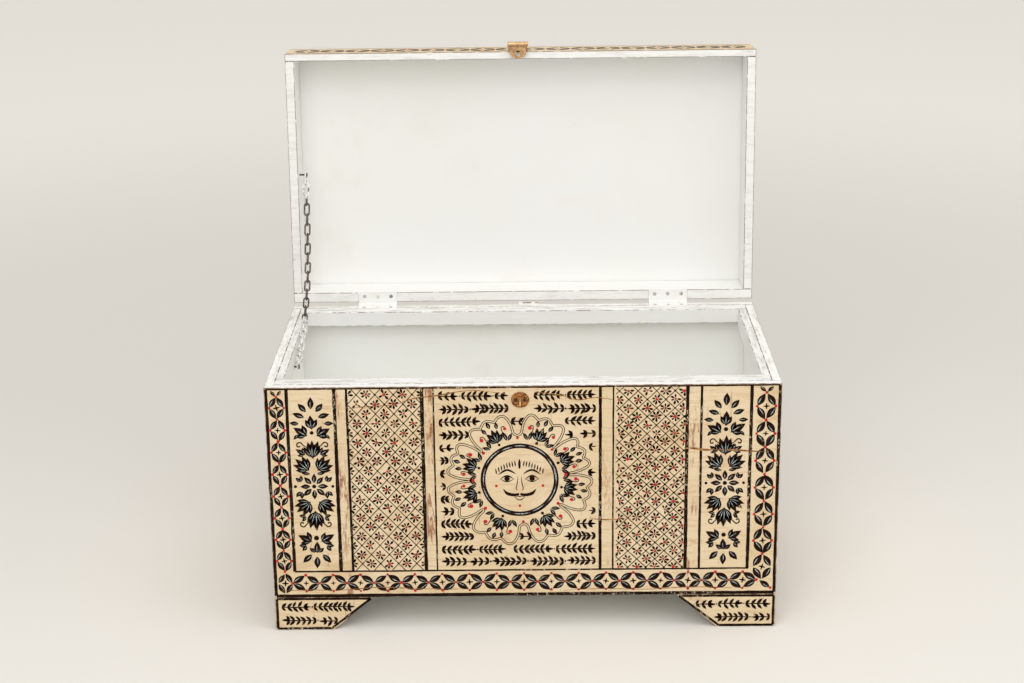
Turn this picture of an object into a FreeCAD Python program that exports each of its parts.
import FreeCAD, Part
import math
import os
import re
import Sketcher

# Damchiya chest: a painted wooden storage chest on bracket feet, stored with its lid open.
# Lengths are in millimetres and angles in degrees. X runs along the front, +Y to the back, +Z up.
# The origin is on the floor, in the middle of the space that the open chest fills.
# The lid's pieces are drawn for the closed lid, about the hinge axis, and are then turned open.

Vector = FreeCAD.Vector
Rotation = FreeCAD.Rotation
Placement = FreeCAD.Placement

# Driving dimensions, by piece
SIZES = {
    "box_width": 900,
    "box_depth": 482,
    "rim_height": 464,
    "foot_height": 64,
    "wall": 16,
    "floor_thick": 16,
    "edge_round": 1.2,
    "front_batten_thick": 31,
    "front_batten_deep": 40,
    "back_batten_thick": 29,
    "back_batten_deep": 28,
    "left_batten_thick": 14,
    "right_batten_thick": 15.5,
    "side_batten_deep": 40,
    "foot_top": 178,
    "foot_bottom": 106,
    "foot_thick": 18,
    "lid_angle": 94,
    "lid_gap": 1,
    "lid_overhang": 5,
    "lid_rail_deep": 84,
    "lid_panel": 12,
    "lid_front_rail": 14,
    "lid_back_rail": 19,
    "lid_side_rail": 17,
    "hinge_back": 5,
    "hinge_from_end": 165,
    "hinge_length": 75,
    "leaf_reach": 24,
    "leaf_thick": 2,
    "knuckle_radius": 3.8,
    "knuckle_gap": 0.3,
    "hinge_pin_radius": 2,
    "pin_fit": 0.05,
    "screw_spacing": 26,
    "screw_from_axis": 16,
    "screw_radius": 2,
    "screw_head_radius": 3.6,
    "screw_length": 14,
    "screw_slot": 0.8,
    "seat_gap": 0.1,
    "stop_width": 37.4,
    "stop_centre": 11.2,
    "stop_below_rim": 18,
    "stop_above_axis": 3,
    "stop_clear": 0.3,
    "chain_wire": 3.2,
    "chain_inner_width": 6,
    "chain_gap": 0.3,
    "chain_bow": 31.14,
    "chain_clear": 0.4,
    "box_nail_from_axis": 286,
    "box_nail_below_rim": 30,
    "lid_nail_from_back": 250,
    "lid_nail_above_rim": 26,
    "chain_side_step": 0.78,
    "chain_nail_radius": 1.6,
    "chain_nail_head": 4,
    "chain_nail_head_thick": 1.5,
    "chain_nail_bite": 8,
    "hasp_centre": -4.5,
    "hasp_out": 15.5,
    "hasp_drop": 13,
    "hasp_length": 39.5,
    "hasp_knuckle": 13,
    "hasp_knuckle_radius": 4.6,
    "hasp_pin_radius": 1.8,
    "hasp_plate": 1.3,
    "hasp_clear": 0.3,
    "hasp_leaf_width": 36,
    "hasp_leaf_up": 40,
    "hasp_leaf_bend": 5,
    "hasp_swing_in": 21,
    "flap_width": 31.6,
    "flap_length": 28.4,
    "flap_neck": 5.3,
    "flap_slot_width": 7.2,
    "flap_slot_height": 10.2,
    "flap_slot_centre": 17.3,
    "catch_width": 32,
    "catch_height": 29,
    "catch_below_rim": 26,
    "catch_thick": 1.5,
    "catch_nail_spread": 7.5,
    "staple_wire": 2.4,
    "staple_height": 9,
    "staple_bite": 10,
    "nail_radius": 1.4,
    "nail_head_radius": 3.1,
    "nail_head_thick": 1,
    "nail_length": 26,
    "hasp_nail_length": 13,
    "nail_from_edge": 60,
}

CHAIN_LINKS = 23
CHAIN_OPEN_LINK = 12
HINGE_KNUCKLES = 5
BOARD_NAILS = 4
CUT_OVERRUN_SHARE = 0.5
SHIELD_SHOULDER_SHARE = 0.66
SHIELD_CHEEK_SHARE = 0.88
SHIELD_CHEEK_WIDTH_SHARE = 0.6
HASP_NAIL_HEIGHT_SHARES = (0.4, 0.82)
HASP_NAIL_SIDE_SHARE = 0.3

# Sizes and places worked out from the driving ones
DERIVED = {
    "half_width": "box_width / 2",
    "hinge_spread": "half_width - hinge_from_end",
    "lid_front": "hinge_back + box_depth + lid_overhang",
    "lid_rim": "lid_gap / 2",
    "lid_top": "lid_rim + lid_rail_deep + lid_panel",
    "open_reach": "lid_top * sin(lid_angle) - lid_front * cos(lid_angle)",
    "hasp_face_out": "lid_overhang + hasp_out",
    "staple_out": "hasp_face_out - hasp_plate / 2 - hasp_clear",
    "middle_y": "(staple_out - hinge_back - open_reach) / 2",
    "front_y": "middle_y - box_depth / 2",
    "back_y": "middle_y + box_depth / 2",
    "hinge_y": "back_y + hinge_back",
    "hinge_z": "rim_height + lid_gap / 2",
    "knuckle_long": "hinge_length / knuckle_count",
    "hasp_y": "hinge_y - (lid_front + hasp_out) * cos(lid_angle) - (hasp_drop - lid_rim) * sin(lid_angle)",
    "hasp_z": "hinge_z + (lid_front + hasp_out) * sin(lid_angle) - (hasp_drop - lid_rim) * cos(lid_angle)",
    "hasp_closed_z": "hinge_z + lid_rim - hasp_drop",
    "staple_z": "hasp_closed_z - flap_slot_centre * cos(hasp_swing_in)",
    "staple_bend": "(staple_height - staple_wire) / 2",
    "chain_half_wide": "chain_inner_width / 2 + chain_wire",
    "chain_bend": "(chain_inner_width + chain_wire) / 2",
    "chain_box_x": "-half_width + wall + left_batten_thick + chain_half_wide + chain_clear",
    "hinge_bore": "hinge_pin_radius + pin_fit",
    "hasp_bore": "hasp_pin_radius + pin_fit",
    "overrun": "wall * overrun_share",
}
COUNTS = {"knuckle_count": HINGE_KNUCKLES, "overrun_share": CUT_OVERRUN_SHARE}

doc = FreeCAD.newDocument("damchiya_chest")
sheet = doc.addObject("Spreadsheet::Sheet", "sizes")


def add_cell(row, alias, number):
    sheet.set("A%d" % row, alias)
    sheet.set("B%d" % row, str(number))
    sheet.setAlias("B%d" % row, alias)


for row, (alias, number) in enumerate(list(SIZES.items()) + list(COUNTS.items()), start=1):
    add_cell(row, alias, number)
doc.recompute()


# Formulas

def formula(text):
    """Writes a formula in the sheet's own cells."""
    def swap(match):
        word = match.group(0)
        if word in DERIVED:
            return "(" + formula(DERIVED[word]) + ")"
        if word in SIZES or word in COUNTS:
            return "sizes." + word
        return word
    return re.sub(r"[A-Za-z_]\w*", swap, str(text))


def value(text):
    return float(sheet.evalExpression(formula(text)))


def bind(thing, **formulas):
    for name, text in formulas.items():
        thing.setExpression(name.replace("__", "."), formula(text))


def place(thing, x="0", y="0", z="0", turn=None):
    """Binds a thing's position, after an optional fixed turn."""
    if turn is not None:
        thing.Placement = Placement(Vector(), turn)
    bind(thing, Placement__Base__x=x, Placement__Base__y=y, Placement__Base__z=z)


ALONG_X = Rotation(Vector(0, 1, 0), 90)
TOWARD_FRONT = Rotation(Vector(1, 0, 0), 90)


# Bodies and their features

def new_body(name):
    body = doc.addObject("PartDesign::Body", name)
    body.Label = name
    return body


def add(body, kind, name, **sizes):
    feature = body.newObject("PartDesign::" + kind, body.Name + "_" + name)
    bind(feature, **sizes)
    return feature


def add_box(body, kind, name, x, y, z):
    """A box between pairs of formulas."""
    box = add(body, kind, name,
              Length="(%s) - (%s)" % (x[1], x[0]),
              Width="(%s) - (%s)" % (y[1], y[0]),
              Height="(%s) - (%s)" % (z[1], z[0]))
    place(box, x[0], y[0], z[0])
    doc.recompute()
    return box


def add_round(body, kind, name, radius, length, x, y, z, turn=ALONG_X):
    rod = add(body, kind, name, Radius=radius, Height=length)
    place(rod, x, y, z, turn)
    doc.recompute()
    return rod


def soften(body, feature, radius="edge_round"):
    """Rounds every edge of a board a little, as wear does."""
    fillet = body.newObject("PartDesign::Fillet", body.Name + "_worn_edges")
    fillet.Base = (feature, ["Edge1"])
    fillet.UseAllEdges = True
    bind(fillet, Radius=radius)
    doc.recompute()
    return fillet


def draw(body, plane, points, name, offset="0"):
    """A closed outline of straight lines, each corner held by formulas."""
    sketch = body.newObject("Sketcher::SketchObject", body.Name + "_" + name)
    base = [item for item in body.Origin.OriginFeatures if item.Role == plane][0]
    sketch.AttachmentSupport = [(base, "")]
    sketch.MapMode = "FlatFace"
    bind(sketch, AttachmentOffset__Base__z=offset)
    corners = [Vector(value(across), value(up), 0) for across, up in points]
    count = len(corners)
    for index in range(count):
        sketch.addGeometry(Part.LineSegment(corners[index], corners[(index + 1) % count]))
    for index in range(count):
        sketch.addConstraint(Sketcher.Constraint("Coincident", index, 2, (index + 1) % count, 1))
    for index, (across, up) in enumerate(points):
        for kind, text, number in (("DistanceX", across, corners[index].x),
                                   ("DistanceY", up, corners[index].y)):
            rule = sketch.addConstraint(Sketcher.Constraint(kind, -1, 1, index, 1, number))
            sketch.setExpression("Constraints[%d]" % rule, formula(text))
    doc.recompute()
    return sketch


def pad(body, sketch, length, name):
    feature = body.newObject("PartDesign::Pad", body.Name + "_" + name)
    feature.Profile = sketch
    bind(feature, Length=length)
    doc.recompute()
    return feature


def board(name, x, y, z):
    """A plain board with worn edges."""
    body = new_body(name)
    blank = add_box(body, "AdditiveBox", "blank", x, y, z)
    soften(body, blank)
    return body


def open_lid(thing):
    """Turns a piece that is drawn for the closed lid open about the hinge axis."""
    thing.Placement = Placement(Vector(), Rotation(Vector(-1, 0, 0), value("lid_angle")))
    bind(thing, Placement__Rotation__Angle="lid_angle",
         Placement__Base__y="hinge_y", Placement__Base__z="hinge_z")
    doc.recompute()
    return thing


def group(name, shapes):
    """Like fasteners in one piece list entry, as separate solids."""
    thing = doc.addObject("Part::Feature", name)
    thing.Label = name
    thing.Shape = Part.makeCompound(shapes)
    return thing


parts = {}


def keep(thing):
    parts[thing.Label] = thing
    return thing


# Chest boards
wide = ("-half_width", "half_width")
between_sides = ("-half_width + wall", "half_width - wall")
between_faces = ("front_y + wall", "back_y - wall")
box_height = ("foot_height", "rim_height")

keep(board("front_board", wide, ("front_y", "front_y + wall"), box_height))
back_board = keep(board("back_board", wide, ("back_y - wall", "back_y"), box_height))
keep(board("left_board", ("-half_width", "-half_width + wall"), between_faces, box_height))
keep(board("right_board", ("half_width - wall", "half_width"), between_faces, box_height))
keep(board("floor_board", between_sides, between_faces,
           ("foot_height", "foot_height + floor_thick")))

# Rim battens, nailed inside the upper edge of the boards
keep(board("front_rim_batten", between_sides,
           ("front_y + wall", "front_y + wall + front_batten_thick"),
           ("rim_height - front_batten_deep", "rim_height")))
back_batten = keep(board("back_rim_batten", between_sides,
                         ("back_y - wall - back_batten_thick", "back_y - wall"),
                         ("rim_height - back_batten_deep", "rim_height")))
side_batten_y = ("front_y + wall + front_batten_thick", "back_y - wall - back_batten_thick")
side_batten_z = ("rim_height - side_batten_deep", "rim_height")
keep(board("left_rim_batten",
           ("-half_width + wall", "-half_width + wall + left_batten_thick"),
           side_batten_y, side_batten_z))
keep(board("right_rim_batten",
           ("half_width - wall - right_batten_thick", "half_width - wall"),
           side_batten_y, side_batten_z))


# Bracket feet: a tapered face board and a tapered side board at each corner

def foot_face(name, left, front):
    body = new_body(name)
    outer = "-half_width" if left else "half_width"
    inward = "+" if left else "-"
    points = [(outer, "0"), (outer, "foot_height"),
              ("%s %s foot_top" % (outer, inward), "foot_height"),
              ("%s %s foot_bottom" % (outer, inward), "0")]
    far = "front_y + foot_thick" if front else "back_y"
    sketch = draw(body, "XZ_Plane", points, "outline", "-(%s)" % far)
    soften(body, pad(body, sketch, "foot_thick", "blank"))
    return body


def foot_side(name, left, front):
    body = new_body(name)
    outer = "front_y + foot_thick" if front else "back_y - foot_thick"
    corner = "front_y" if front else "back_y"
    inward = "+" if front else "-"
    points = [(outer, "0"), (outer, "foot_height"),
              ("%s %s foot_top" % (corner, inward), "foot_height"),
              ("%s %s foot_bottom" % (corner, inward), "0")]
    near = "-half_width" if left else "half_width - foot_thick"
    sketch = draw(body, "YZ_Plane", points, "outline", near)
    soften(body, pad(body, sketch, "foot_thick", "blank"))
    return body


def foot(name, left, front):
    both = doc.addObject("Part::Compound", name)
    both.Label = name
    both.Links = [foot_face(name + "_face", left, front), foot_side(name + "_side", left, front)]
    doc.recompute()
    return both


keep(foot("foot_front_left", True, True))
keep(foot("foot_front_right", False, True))
keep(foot("foot_back_left", True, False))
keep(foot("foot_back_right", False, False))

# Lid: four rails under one panel, drawn closed about the hinge axis
lid_back = "-hinge_back"
lid_face = "-lid_front"
rail_z = ("lid_rim", "lid_rim + lid_rail_deep")

keep(open_lid(board("lid_panel_board", wide, (lid_face, lid_back),
                    ("lid_rim + lid_rail_deep", "lid_top"))))
keep(open_lid(board("lid_front_rail", wide, (lid_face, lid_face + " + lid_front_rail"), rail_z)))
lid_back_rail = keep(open_lid(board("lid_back_rail", wide,
                                    (lid_back + " - lid_back_rail", lid_back), rail_z)))
lid_side_y = (lid_face + " + lid_front_rail", lid_back + " - lid_back_rail")
keep(open_lid(board("lid_left_rail", ("-half_width", "-half_width + lid_side_rail"),
                    lid_side_y, rail_z)))
keep(open_lid(board("lid_right_rail", ("half_width - lid_side_rail", "half_width"),
                    lid_side_y, rail_z)))


# Butt hinges. Each leaf is a plate with its own knuckles of the five.

def hinge_leaf(name, centre, own, plate_z, lid):
    """own lists the knuckles of this leaf; y and z are counted from the hinge axis."""
    body = new_body(name)
    left_end = "%s - hinge_length / 2" % centre
    right_end = "%s + hinge_length / 2" % centre
    add_box(body, "AdditiveBox", "plate", (left_end, right_end), ("-leaf_reach", "0"), plate_z)
    for index in own:
        add_round(body, "AdditiveCylinder", "knuckle_%d" % index, "knuckle_radius",
                  "knuckle_long - knuckle_gap",
                  "%s + knuckle_long * %d + knuckle_gap / 2" % (left_end, index), "0", "0")
    for index in range(HINGE_KNUCKLES):
        if index not in own:
            add_box(body, "SubtractiveBox", "space_%d" % index,
                    ("%s + knuckle_long * %d - knuckle_gap / 2" % (left_end, index),
                     "%s + knuckle_long * %d + knuckle_gap / 2" % (left_end, index + 1)),
                    ("-knuckle_radius - knuckle_gap", "knuckle_radius"),
                    ("-knuckle_radius - knuckle_gap", "knuckle_radius + knuckle_gap"))
    add_round(body, "SubtractiveCylinder", "bore", "hinge_bore", "hinge_length + 2 * overrun",
              "%s - overrun" % left_end, "0", "0")
    head_z = "lid_rim" if lid else "-lid_rim"
    for index in (-1, 0, 1):
        cone = add(body, "SubtractiveCone", "screw_seat_%d" % (index + 1),
                   Radius1="screw_head_radius + seat_gap", Radius2="screw_radius + seat_gap",
                   Height="leaf_thick")
        place(cone, "%s + screw_spacing * %d" % (centre, index), "-screw_from_axis", head_z,
              Rotation() if lid else Rotation(Vector(1, 0, 0), 180))
        doc.recompute()
    return body


def rim_mortise(body, name, centre, y, z):
    add_box(body, "SubtractiveBox", name,
            ("%s - hinge_length / 2 - seat_gap" % centre, "%s + hinge_length / 2 + seat_gap" % centre),
            y, z)


LEFT_HINGE = "-hinge_spread"
RIGHT_HINGE = "hinge_spread"
LEFT_BOX_KNUCKLES = (0, 2, 4)
LEFT_LID_KNUCKLES = (1, 3)

for side, centre in (("left", LEFT_HINGE), ("right", RIGHT_HINGE)):
    box_knuckles = LEFT_BOX_KNUCKLES if side == "left" else LEFT_LID_KNUCKLES
    lid_knuckles = LEFT_LID_KNUCKLES if side == "left" else LEFT_BOX_KNUCKLES
    box_leaf = hinge_leaf(side + "_hinge_box_leaf", centre, box_knuckles,
                          ("-lid_rim - leaf_thick", "-lid_rim"), False)
    place(box_leaf, "0", "hinge_y", "hinge_z")
    keep(box_leaf)
    keep(open_lid(hinge_leaf(side + "_hinge_lid_leaf", centre, lid_knuckles,
                             ("lid_rim", "lid_rim + leaf_thick"), True)))
    pin = new_body(side + "_hinge_pin")
    add_round(pin, "AdditiveCylinder", "rod", "hinge_pin_radius", "hinge_length",
              "%s - hinge_length / 2" % centre, "hinge_y", "hinge_z")
    keep(pin)
    leaf_y = ("hinge_y - leaf_reach - seat_gap", "back_y + overrun")
    leaf_z = ("rim_height - leaf_thick - seat_gap", "rim_height + overrun")
    rim_mortise(back_board, side + "_mortise", centre, leaf_y, leaf_z)
    rim_mortise(back_batten, side + "_mortise", centre, leaf_y, leaf_z)
    rim_mortise(lid_back_rail, side + "_mortise", centre,
                ("-leaf_reach - seat_gap", "overrun"),
                ("lid_rim - overrun", "lid_rim + leaf_thick + seat_gap"))


# Stop block behind the rim: the open lid's lower edge stands over its rounded top

stop_block = new_body("lid_stop_block")
add_box(stop_block, "AdditiveBox", "block",
        ("stop_centre - stop_width / 2", "stop_centre + stop_width / 2"),
        ("back_y", "hinge_y"), ("rim_height - stop_below_rim", "hinge_z"))
add_round(stop_block, "AdditiveCylinder", "rounded_top", "hinge_back - stop_clear", "stop_width",
          "stop_centre - stop_width / 2", "hinge_y", "hinge_z")
STOP_CUT_X = ("stop_centre - stop_width / 2 - overrun", "stop_centre + stop_width / 2 + overrun")
add_box(stop_block, "SubtractiveBox", "flat_back", STOP_CUT_X,
        ("hinge_y", "hinge_y + hinge_back"), ("hinge_z - hinge_back", "hinge_z + hinge_back"))
add_box(stop_block, "SubtractiveBox", "flat_top", STOP_CUT_X,
        ("back_y", "hinge_y + hinge_back"),
        ("hinge_z + stop_above_axis", "hinge_z + hinge_back"))
keep(stop_block)


# Chain. Links alternate between lying in the YZ plane and across it, and bow evenly below
# the line from the nail in the box to the nail in the lid. The links' length follows.

link_step = [2 * index / (CHAIN_LINKS - 1) - 1 for index in range(CHAIN_LINKS)]
box_nail = complex(value("hinge_y - box_nail_from_axis"), value("rim_height - box_nail_below_rim"))
lid_along = value("hinge_back + lid_nail_from_back")
lid_up = value("lid_rim + lid_nail_above_rim")
lid_turn = math.radians(value("lid_angle"))
lid_nail = complex(
    value("hinge_y") - lid_along * math.cos(lid_turn) + lid_up * math.sin(lid_turn),
    value("hinge_z") + lid_along * math.sin(lid_turn) + lid_up * math.cos(lid_turn))
chord = abs(lid_nail - box_nail)
chord_turn = math.atan2((lid_nail - box_nail).imag, (lid_nail - box_nail).real)
bow = math.radians(value("chain_bow"))
link_turns = [chord_turn + bow * step for step in link_step]

wire = value("chain_wire")
gap = value("chain_gap")
nail_radius = value("chain_nail_radius")


def pitch_extra(index):
    """How much longer than its opening a link's pivot spacing is."""
    if index % 2:
        return wire
    if index in (0, CHAIN_LINKS - 1):
        return -wire / 2 - nail_radius - 2 * gap
    return -wire - 2 * gap


leans = [math.cos(bow * step) for step in link_step]
link_inner = (chord - sum(pitch_extra(i) * leans[i] for i in range(CHAIN_LINKS))) / sum(leans)
DERIVED["chain_straight"] = "%r - chain_inner_width" % link_inner
pivots = [box_nail]
for index in range(CHAIN_LINKS):
    spacing = link_inner + pitch_extra(index)
    turn = link_turns[index]
    pivots.append(pivots[-1] + spacing * complex(math.cos(turn), math.sin(turn)))


def link_centre(index):
    """The middle of a link, from the pivot at its plain end."""
    along = complex(math.cos(link_turns[index]), math.sin(link_turns[index]))
    end_to_middle = link_inner / 2 - wire / 2 - gap
    if index == 0:
        return pivots[1] - along * end_to_middle
    if index == CHAIN_LINKS - 1:
        return pivots[index] + along * end_to_middle
    return (pivots[index] + pivots[index + 1]) / 2


def link_side(index):
    """The chain hangs straight from the box, then each link steps over towards the lid's nail."""
    return value("chain_box_x") - max(0, index - CHAIN_OPEN_LINK) * value("chain_side_step")


def chain_link(name, centre, turn, across, side):
    """A link's wire: two half rings joined by two straight rods, long along its own X."""
    pieces = []
    for end, spin in (("chain_straight / 2", -90), ("-chain_straight / 2", 90)):
        ring = doc.addObject("Part::Torus", name + "_ring")
        ring.Angle3 = 180
        bind(ring, Radius1="chain_bend", Radius2="chain_wire / 2")
        place(ring, end, "0", "0", Rotation(Vector(0, 0, 1), spin))
        pieces.append(ring)
    for edge in ("chain_bend", "-chain_bend"):
        rod = doc.addObject("Part::Cylinder", name + "_rod")
        bind(rod, Radius="chain_wire / 2", Height="chain_straight")
        place(rod, "-chain_straight / 2", edge, "0", ALONG_X)
        pieces.append(rod)
    link = doc.addObject("Part::MultiFuse", name)
    link.Label = name
    link.Shapes = pieces
    along = Vector(0, math.cos(turn), math.sin(turn))
    normal = Vector(0, -math.sin(turn), math.cos(turn))
    sideways = Vector(1, 0, 0)
    second, third = (sideways, normal) if across else (normal, sideways)
    spin = Rotation(along, second, third, "XYZ")
    link.Placement = Placement(Vector(side, centre.real, centre.imag), spin)
    doc.recompute()
    return link


for index in range(CHAIN_LINKS):
    keep(chain_link("chain_link_%02d" % (index + 1), link_centre(index), link_turns[index],
                    index % 2 == 1, link_side(index)))


def chain_nail(name, wall_x, link_x):
    """A headed nail along X that holds an end link."""
    start = wall_x - value("chain_nail_bite")
    head_x = link_x + wire / 2 + gap
    shank = Part.makeCylinder(nail_radius, head_x - start, Vector(start, 0, 0), Vector(1, 0, 0))
    head = Part.makeCylinder(value("chain_nail_head"), value("chain_nail_head_thick"),
                             Vector(head_x, 0, 0), Vector(1, 0, 0))
    nail = doc.addObject("Part::Feature", name)
    nail.Label = name
    nail.Shape = shank.fuse(head)
    return nail


box_chain_nail = chain_nail("chain_nail_box", value("-half_width + wall + left_batten_thick"),
                            link_side(0))
box_chain_nail.Placement = Placement(Vector(0, box_nail.real, box_nail.imag), Rotation())
keep(box_chain_nail)
lid_chain_nail = chain_nail("chain_nail_lid", value("-half_width + lid_side_rail"),
                            link_side(CHAIN_LINKS - 1))
lid_chain_nail.Placement = Placement(Vector(0, lid_nail.real, lid_nail.imag), Rotation())
keep(lid_chain_nail)


# Hasp. The leaf is bent out over the lid's lower edge to a barrel of three knuckles.

hasp_leaf = new_body("hasp_leaf")
leaf_half = "hasp_leaf_width / 2"
barrel_y = "-lid_front - hasp_out"
barrel_z = "lid_rim - hasp_drop"
leaf_face = "-lid_front"
leaf_outline = [
    (leaf_face, "lid_rim + hasp_leaf_up"),
    (leaf_face, "lid_rim + hasp_leaf_bend - hasp_plate"),
    (barrel_y, barrel_z + " - hasp_plate"),
    (barrel_y + " - hasp_plate", barrel_z),
    (leaf_face + " - hasp_plate", "lid_rim + hasp_leaf_bend"),
    (leaf_face + " - hasp_plate", "lid_rim + hasp_leaf_up"),
]
leaf_sketch = draw(hasp_leaf, "YZ_Plane", leaf_outline, "profile", "hasp_centre - " + leaf_half)
pad(hasp_leaf, leaf_sketch, "hasp_leaf_width", "plate")
for end, start in (("left", "hasp_centre - hasp_length / 2"),
                   ("right", "hasp_centre + hasp_knuckle / 2 + knuckle_gap")):
    add_round(hasp_leaf, "AdditiveCylinder", end + "_knuckle", "hasp_knuckle_radius",
              "(hasp_length - hasp_knuckle) / 2 - knuckle_gap", start, barrel_y, barrel_z)
add_round(hasp_leaf, "SubtractiveCylinder", "flap_space", "hasp_knuckle_radius + hasp_clear",
          "hasp_knuckle + 2 * knuckle_gap", "hasp_centre - hasp_knuckle / 2 - knuckle_gap",
          barrel_y, barrel_z)
add_round(hasp_leaf, "SubtractiveCylinder", "bore", "hasp_bore", "hasp_length + 2 * overrun",
          "hasp_centre - hasp_length / 2 - overrun", barrel_y, barrel_z)
keep(open_lid(hasp_leaf))

hasp_pin = new_body("hasp_pin")
add_round(hasp_pin, "AdditiveCylinder", "rod", "hasp_pin_radius", "hasp_length",
          "hasp_centre - hasp_length / 2", "hasp_y", "hasp_z")
keep(hasp_pin)

# The flap hangs straight down from the barrel
hasp_flap = new_body("hasp_flap")
half_flap = "flap_width / 2"
half_neck = "hasp_knuckle / 2"
shoulder = "-flap_length * %s" % SHIELD_SHOULDER_SHARE
cheek = "-flap_length * %s" % SHIELD_CHEEK_SHARE
cheek_half = "flap_width / 2 * %s" % SHIELD_CHEEK_WIDTH_SHARE
right_edge = [(half_neck, "0"), (half_neck, "-flap_neck"), (half_flap, "-flap_neck"),
              (half_flap, shoulder), (cheek_half, cheek)]
left_edge = [("-" + across, up) for across, up in reversed(right_edge)]
flap_outline = right_edge + [("0", "-flap_length")] + left_edge
flap_sketch = draw(hasp_flap, "XZ_Plane", flap_outline, "shield", "-hasp_plate / 2")
pad(hasp_flap, flap_sketch, "hasp_plate", "plate")
add_round(hasp_flap, "AdditiveCylinder", "knuckle", "hasp_knuckle_radius", "hasp_knuckle",
          "-" + half_neck, "0", "0")
add_round(hasp_flap, "SubtractiveCylinder", "bore", "hasp_bore", "hasp_length",
          "-hasp_length / 2", "0", "0")
add_box(hasp_flap, "SubtractiveBox", "slot",
        ("-flap_slot_width / 2", "flap_slot_width / 2"),
        ("-hasp_plate", "hasp_plate"),
        ("-flap_slot_centre - flap_slot_height / 2", "-flap_slot_centre + flap_slot_height / 2"))
place(hasp_flap, "hasp_centre", "hasp_y", "hasp_z")
keep(hasp_flap)


# Catch plate on the front, an oval with two nail holes and the staple between them

def upright_rod(name, radius, length, x, z, y):
    """A round rod that points to the front."""
    rod = doc.addObject("Part::Cylinder", name)
    bind(rod, Radius=radius, Height=length)
    place(rod, x, y, z, TOWARD_FRONT)
    return rod


catch_z = "rim_height - catch_below_rim"
oval = doc.addObject("Part::Ellipse", "catch_oval")
bind(oval, MajorRadius="catch_width / 2", MinorRadius="catch_height / 2")
place(oval, "hasp_centre", "front_y", catch_z, TOWARD_FRONT)
blank = doc.addObject("Part::Extrusion", "catch_blank")
blank.Base = oval
blank.DirMode = "Custom"
blank.Dir = Vector(0, -1, 0)
blank.Solid = True
bind(blank, LengthFwd="catch_thick")
holes = []
for tag, shift in (("left", "-catch_nail_spread"), ("right", "catch_nail_spread")):
    holes.append(upright_rod("catch_hole_" + tag, "nail_radius + seat_gap", "catch_thick + overrun",
                             "hasp_centre + " + shift, catch_z, "front_y + overrun / 2"))
for tag, shift in (("upper", "staple_bend"), ("lower", "-staple_bend")):
    holes.append(upright_rod("catch_hole_" + tag, "staple_wire / 2 + seat_gap",
                             "catch_thick + overrun", "hasp_centre", "staple_z + " + shift,
                             "front_y + overrun / 2"))
drilled = doc.addObject("Part::MultiFuse", "catch_holes")
drilled.Shapes = holes
catch_plate = doc.addObject("Part::Cut", "catch_plate")
catch_plate.Base = blank
catch_plate.Tool = drilled
catch_plate.Label = "catch_plate"
doc.recompute()
keep(catch_plate)

# Staple: two legs driven into the front board and a half ring between them
staple_arm = "staple_out - staple_bend - staple_wire / 2"
staple_pieces = []
for tag, shift in (("upper", "staple_bend"), ("lower", "-staple_bend")):
    staple_pieces.append(upright_rod("staple_leg_" + tag, "staple_wire / 2",
                                     "staple_bite + " + staple_arm, "hasp_centre",
                                     "staple_z + " + shift, "front_y + staple_bite"))
staple_ring = doc.addObject("Part::Torus", "staple_ring")
staple_ring.Angle3 = 180
bind(staple_ring, Radius1="staple_bend", Radius2="staple_wire / 2")
ring_turn = Rotation(Vector(0, 0, -1), Vector(0, -1, 0), Vector(-1, 0, 0), "XYZ")
place(staple_ring, "hasp_centre", "front_y - (%s)" % staple_arm, "staple_z", ring_turn)
staple = doc.addObject("Part::MultiFuse", "catch_staple")
staple.Shapes = staple_pieces + [staple_ring]
staple.Label = "catch_staple"
doc.recompute()
keep(staple)


# Nails and screws

def nail(head_at, inward, length="nail_length"):
    """A nail whose head stands on a face at head_at; inward points into the wood."""
    outward = inward * -1
    shank = Part.makeCylinder(value("nail_radius"), value(length), head_at, inward)
    base = Part.makeCylinder(value("nail_head_radius"), value("nail_head_thick") / 2,
                             head_at, outward)
    dome_at = head_at + outward * (value("nail_head_thick") / 2)
    dome = Part.makeCone(value("nail_head_radius"), value("nail_head_radius") / 2,
                         value("nail_head_thick") / 2, dome_at, outward)
    return shank.fuse([base, dome])


def spread(start, end, count):
    """count places from start to end, evenly spaced."""
    return [start + (end - start) * index / (count - 1) for index in range(count)]


def screw(head_at, inward):
    """A slotted countersunk screw whose flat head ends at head_at."""
    head = Part.makeCone(value("screw_head_radius"), value("screw_radius"), value("leaf_thick"),
                         head_at, inward)
    shank = Part.makeCylinder(value("screw_radius"), value("screw_length"), head_at, inward)
    slot_deep = value("leaf_thick") / 4
    slot = Part.makeBox(2 * value("screw_head_radius"), value("screw_slot"), 2 * slot_deep)
    slot.translate(head_at - Vector(value("screw_head_radius"), value("screw_slot") / 2, slot_deep))
    return shank.fuse(head).cut(slot)


half_board = value("wall / 2")
half_width = value("half_width")
front_y = value("front_y")
back_y = value("back_y")
edge = value("nail_from_edge")
to_front = Vector(0, -1, 0)
to_back = Vector(0, 1, 0)

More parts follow.
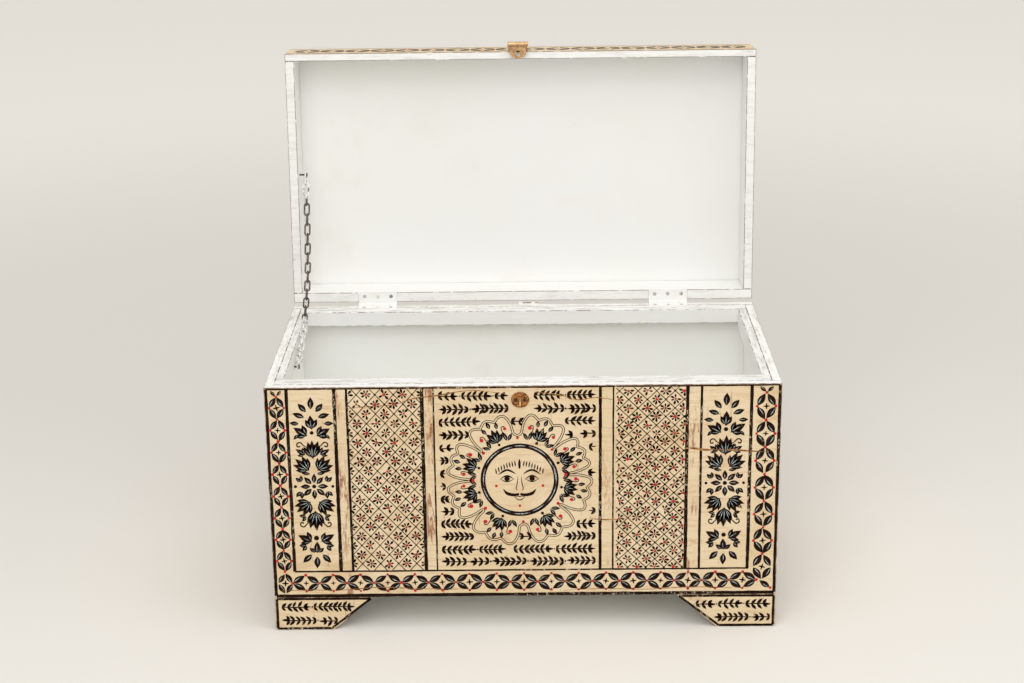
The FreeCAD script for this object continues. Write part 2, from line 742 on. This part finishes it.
# Box nails: through the back board into the side boards and the floor board, and two in the
# catch plate
box_nails = []
upright_places = spread(value("foot_height") + edge, value("rim_height") - edge, BOARD_NAILS)
for side in (-1, 1):
    for z in upright_places:
        box_nails.append(nail(Vector(side * (half_width - half_board), back_y, z), to_front))
    box_nails.append(nail(Vector(value("hasp_centre") + side * value("catch_nail_spread"),
                                 front_y - value("catch_thick"), value(catch_z)), to_back))
floor_middle = value("foot_height + floor_thick / 2")
for x in spread(-half_width + 2 * edge, half_width - 2 * edge, BOARD_NAILS):
    box_nails.append(nail(Vector(x, back_y, floor_middle), to_front))
keep(group("box_nails", box_nails))

# Lid nails, drawn closed: down through the panel into the rails, and four in the hasp's leaf
lid_nails = []
panel_top = value("lid_top")
rail_middles = (-value("lid_front") + value("lid_front_rail") / 2,
                -value("hinge_back") - value("lid_back_rail") / 2)
for y in rail_middles:
    for x in spread(-half_width + edge, half_width - edge, BOARD_NAILS):
        lid_nails.append(nail(Vector(x, y, panel_top), Vector(0, 0, -1)))
for share in HASP_NAIL_HEIGHT_SHARES:
    for side in (-1, 1):
        lid_nails.append(nail(Vector(
            value("hasp_centre") + side * HASP_NAIL_SIDE_SHARE * value("hasp_leaf_width"),
            -value("lid_front + hasp_plate"), value("lid_rim") + share * value("hasp_leaf_up")),
            to_back, "hasp_nail_length"))
keep(open_lid(group("lid_nails", lid_nails)))

box_screws = []
lid_screws = []
for centre in (value(LEFT_HINGE), value(RIGHT_HINGE)):
    for index in (-1, 0, 1):
        x = centre + index * value("screw_spacing")
        box_screws.append(screw(Vector(x, value("hinge_y - screw_from_axis"), value("rim_height")),
                                Vector(0, 0, -1)))
        lid_screws.append(screw(Vector(x, -value("screw_from_axis"), value("lid_rim")),
                                Vector(0, 0, 1)))
keep(group("hinge_screws_box", box_screws))
keep(open_lid(group("hinge_screws_lid", lid_screws)))

# Checks, then one file for each piece
doc.recompute()
for item in doc.Objects:
    if "Invalid" in item.State or "Error" in item.State:
        raise RuntimeError("%s failed: %s" % (item.Name, item.State))
for name, thing in parts.items():
    if thing.Shape.isNull() or not thing.Shape.isValid():
        raise RuntimeError("%s has no valid shape" % name)

os.makedirs("parts", exist_ok=True)
for name, thing in parts.items():
    thing.Shape.exportStep(os.path.join("parts", name + ".step"))
print("%d pieces, link opening %.3f long" % (len(parts), link_inner))
